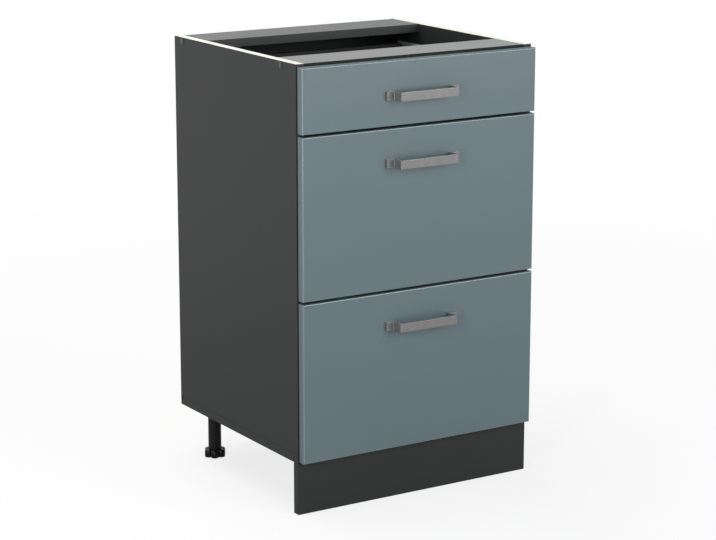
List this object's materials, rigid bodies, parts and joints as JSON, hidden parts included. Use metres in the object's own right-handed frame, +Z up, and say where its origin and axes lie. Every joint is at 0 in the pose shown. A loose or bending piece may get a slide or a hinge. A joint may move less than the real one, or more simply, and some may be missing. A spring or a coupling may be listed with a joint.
{
  "type": "kitchen base cabinet with drawers",
  "caption": "Floor-standing kitchen base cabinet with stacked drawers on roller runners, bow handles, a clipped plinth board and levelling feet.",
  "frame": {"origin": "floor level under the centre of the cabinet's outer box, handles and cover caps included", "axes": "+X to the right as seen from the front, +Y from the front to the back, +Z up"},
  "size_m": [0.5032, 0.4926, 0.816],
  "materials": {
    "carcass_board": "matt dark grey melamine on chipboard, pale top edges",
    "front_foil": "matt blue-grey foil on fibreboard",
    "handle_metal": "brushed nickel",
    "drawer_steel": "powder-coated light grey sheet",
    "runner_steel": "powder-coated sheet",
    "drawer_board": "light grey melamine",
    "roller_nylon": "natural nylon",
    "leg_plastic": "black moulded plastic",
    "cap_plastic": "dark grey moulded plastic",
    "zinc_screw": "zinc plated",
    "dowel_wood": "plain beech",
    "bumper_pad": "clear soft plastic"
  },
  "bodies": {
    "cabinet": {"side_panel_left": "carcass_board", "side_panel_right": "carcass_board", "bottom_panel": "carcass_board", "top_rail_front": "carcass_board", "top_rail_rear": "carcass_board", "back_panel": "carcass_board", "plinth_board": "carcass_board", "plinth_clips": "leg_plastic", "carcass_screws": "zinc_screw", "screw_caps": "cap_plastic", "wood_dowels": "dowel_wood", "leg_columns": "leg_plastic", "leg_screws": "zinc_screw", "runner_screws": "zinc_screw", "front_bumpers": "bumper_pad", "cabinet_axles": "zinc_screw", "runner_left_top": "runner_steel", "runner_right_top": "runner_steel", "runner_left_middle": "runner_steel", "runner_right_middle": "runner_steel", "runner_left_bottom": "runner_steel", "runner_right_bottom": "runner_steel"},
    "drawer_top": {"drawer_front_top": "front_foil", "drawer_side_left_top": "drawer_steel", "drawer_side_right_top": "drawer_steel", "drawer_base_top": "drawer_board", "drawer_back_top": "drawer_board", "handle_top": "handle_metal", "handle_screws_top": "zinc_screw", "drawer_screws_top": "zinc_screw", "drawer_axles_top": "zinc_screw"},
    "drawer_middle": {"drawer_front_middle": "front_foil", "drawer_side_left_middle": "drawer_steel", "drawer_side_right_middle": "drawer_steel", "drawer_base_middle": "drawer_board", "drawer_back_middle": "drawer_board", "handle_middle": "handle_metal", "handle_screws_middle": "zinc_screw", "drawer_screws_middle": "zinc_screw", "drawer_axles_middle": "zinc_screw"},
    "drawer_bottom": {"drawer_front_bottom": "front_foil", "drawer_side_left_bottom": "drawer_steel", "drawer_side_right_bottom": "drawer_steel", "drawer_base_bottom": "drawer_board", "drawer_back_bottom": "drawer_board", "handle_bottom": "handle_metal", "handle_screws_bottom": "zinc_screw", "drawer_screws_bottom": "zinc_screw", "drawer_axles_bottom": "zinc_screw"},
    "drawer_roller_pair_top": {"drawer_rollers_top": "roller_nylon"},
    "cabinet_roller_pair_top": {"cabinet_rollers_top": "roller_nylon"},
    "drawer_roller_pair_middle": {"drawer_rollers_middle": "roller_nylon"},
    "cabinet_roller_pair_middle": {"cabinet_rollers_middle": "roller_nylon"},
    "drawer_roller_pair_bottom": {"drawer_rollers_bottom": "roller_nylon"},
    "cabinet_roller_pair_bottom": {"cabinet_rollers_bottom": "roller_nylon"},
    "foot_front_left": {"foot_front_left": "leg_plastic"},
    "foot_front_right": {"foot_front_right": "leg_plastic"},
    "foot_rear_left": {"foot_rear_left": "leg_plastic"},
    "foot_rear_right": {"foot_rear_right": "leg_plastic"}
  },
  "joints": [
    {"name": "slide_top", "type": "slide", "parent": "cabinet", "child": "drawer_top", "axis": [0, -1, 0], "range_m": [0, 0.305]},
    {"name": "cabinet_rollers_top_turn", "type": "hinge", "parent": "cabinet", "child": "cabinet_roller_pair_top", "pos_m": [0, -0.18475, 0.7237], "axis": [1, 0, 0], "continuous": true},
    {"name": "drawer_rollers_top_turn", "type": "hinge", "parent": "drawer_top", "child": "drawer_roller_pair_top", "pos_m": [0, 0.18375, 0.721], "axis": [1, 0, 0], "continuous": true},
    {"name": "slide_middle", "type": "slide", "parent": "cabinet", "child": "drawer_middle", "axis": [0, -1, 0], "range_m": [0, 0.305]},
    {"name": "cabinet_rollers_middle_turn", "type": "hinge", "parent": "cabinet", "child": "cabinet_roller_pair_middle", "pos_m": [0, -0.18475, 0.4262], "axis": [1, 0, 0], "continuous": true},
    {"name": "drawer_rollers_middle_turn", "type": "hinge", "parent": "drawer_middle", "child": "drawer_roller_pair_middle", "pos_m": [0, 0.18375, 0.4235], "axis": [1, 0, 0], "continuous": true},
    {"name": "slide_bottom", "type": "slide", "parent": "cabinet", "child": "drawer_bottom", "axis": [0, -1, 0], "range_m": [0, 0.305]},
    {"name": "cabinet_rollers_bottom_turn", "type": "hinge", "parent": "cabinet", "child": "cabinet_roller_pair_bottom", "pos_m": [0, -0.18475, 0.1287], "axis": [1, 0, 0], "continuous": true},
    {"name": "drawer_rollers_bottom_turn", "type": "hinge", "parent": "drawer_bottom", "child": "drawer_roller_pair_bottom", "pos_m": [0, 0.18375, 0.126], "axis": [1, 0, 0], "continuous": true},
    {"name": "level_front_left", "type": "slide", "parent": "cabinet", "child": "foot_front_left", "axis": [0, 0, -1], "range_m": [0, 0.02]},
    {"name": "level_front_right", "type": "slide", "parent": "cabinet", "child": "foot_front_right", "axis": [0, 0, -1], "range_m": [0, 0.02]},
    {"name": "level_rear_left", "type": "slide", "parent": "cabinet", "child": "foot_rear_left", "axis": [0, 0, -1], "range_m": [0, 0.02]},
    {"name": "level_rear_right", "type": "slide", "parent": "cabinet", "child": "foot_rear_right", "axis": [0, 0, -1], "range_m": [0, 0.02]}
  ],
  "couplings": [
    {"joint": "cabinet_rollers_top_turn", "follows": "slide_top", "rad_per_m": 117.65},
    {"joint": "drawer_rollers_top_turn", "follows": "slide_top", "rad_per_m": 117.65},
    {"joint": "cabinet_rollers_middle_turn", "follows": "slide_middle", "rad_per_m": 117.65},
    {"joint": "drawer_rollers_middle_turn", "follows": "slide_middle", "rad_per_m": 117.65},
    {"joint": "cabinet_rollers_bottom_turn", "follows": "slide_bottom", "rad_per_m": 117.65},
    {"joint": "drawer_rollers_bottom_turn", "follows": "slide_bottom", "rad_per_m": 117.65}
  ]
}
